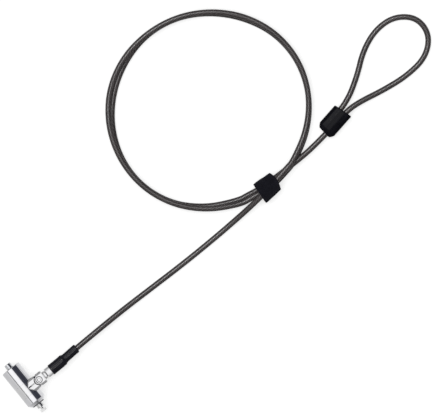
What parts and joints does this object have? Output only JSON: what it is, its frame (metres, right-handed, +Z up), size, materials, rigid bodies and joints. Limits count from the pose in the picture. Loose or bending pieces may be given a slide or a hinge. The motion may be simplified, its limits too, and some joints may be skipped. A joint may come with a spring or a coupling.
{
  "type": "laptop cable lock",
  "caption": "Keyed T-bar lock head on a swivelling clevis, with a coated steel cable wound in a tied coil and ending in a crimped anchor loop.",
  "frame": {"origin": "bottom centre of the lock head's box, from the plug to the T-bar and from the barrel to the end of the boot, on the surface that the barrel and the cable lie on", "axes": "+X along the barrel axis from the plug towards the T-bar, +Y along the neck towards the cable, +Z up from the surface it lies on"},
  "size_m": [0.2236, 0.5229, 0.0198],
  "materials": {
    "shell_chrome": "polished nickel-chrome plate on zinc alloy",
    "link_chrome": "polished nickel-chrome plate",
    "plug_chrome": "polished plate",
    "nose_steel": "turned stainless steel",
    "inner_steel": "plain machined steel",
    "core_brass": "nickel-washed brass",
    "washer_rubber": "matt black rubber",
    "boot_rubber": "satin black moulded elastomer",
    "cable_vinyl": "smoky translucent vinyl over twisted steel strands",
    "strap_fabric": "black hook-and-loop tape",
    "crimp_aluminium": "as pressed"
  },
  "bodies": {
    "cable_end": {"neck_ferrule": "link_chrome", "core_swage": "inner_steel", "steel_core_end": "inner_steel", "strain_boot": "boot_rubber", "cable_lead": "cable_vinyl", "cable_coil": "cable_vinyl", "cable_tail": "cable_vinyl", "cable_loop": "cable_vinyl", "tie_strap": "strap_fabric", "loop_sleeve": "boot_rubber", "loop_crimp": "crimp_aluminium"},
    "fork": {"cable_fork": "link_chrome", "pivot_rivet": "link_chrome", "neck_clip": "inner_steel"},
    "swivel": {"swivel_link": "link_chrome"},
    "barrel": {"barrel_rear": "shell_chrome", "barrel_front": "shell_chrome", "rear_cap": "shell_chrome", "guide_pin": "inner_steel", "assembly_pin": "inner_steel", "latch_plate": "inner_steel", "nose_block": "nose_steel", "t_bar": "nose_steel", "t_bar_pin": "inner_steel", "nose_washer": "washer_rubber", "return_spring": "inner_steel"},
    "plug": {"push_plug": "plug_chrome", "core_retainer": "inner_steel", "pin_carrier": "inner_steel", "lock_pins": "nose_steel"},
    "core": {"key_core": "core_brass", "core_discs": "core_brass", "sidebar": "inner_steel", "core_latch": "inner_steel"}
  },
  "joints": [
    {"name": "neck_twist", "type": "hinge", "parent": "cable_end", "child": "fork", "pos_m": [0.0022, -0.0019, 0.0098], "axis": [0, 1, 0], "continuous": true},
    {"name": "clevis_pivot", "type": "hinge", "parent": "fork", "child": "swivel", "pos_m": [0.0022, -0.0111, 0.0098], "axis": [0, 0, 1], "range_deg": [-35, 35]},
    {"name": "barrel_spin", "type": "hinge", "parent": "swivel", "child": "barrel", "pos_m": [0, -0.0257, 0.0098], "axis": [1, 0, 0], "continuous": true},
    {"name": "plug_push", "type": "slide", "parent": "barrel", "child": "plug", "axis": [1, 0, 0], "range_m": [0, 0.0045], "stiffness_N_per_m": 300, "springref_m": -0.004, "deforming": ["return_spring"]},
    {"name": "key_turn", "type": "hinge", "parent": "plug", "child": "core", "pos_m": [0, -0.0257, 0.0098], "axis": [1, 0, 0], "range_deg": [0, 90]}
  ]
}
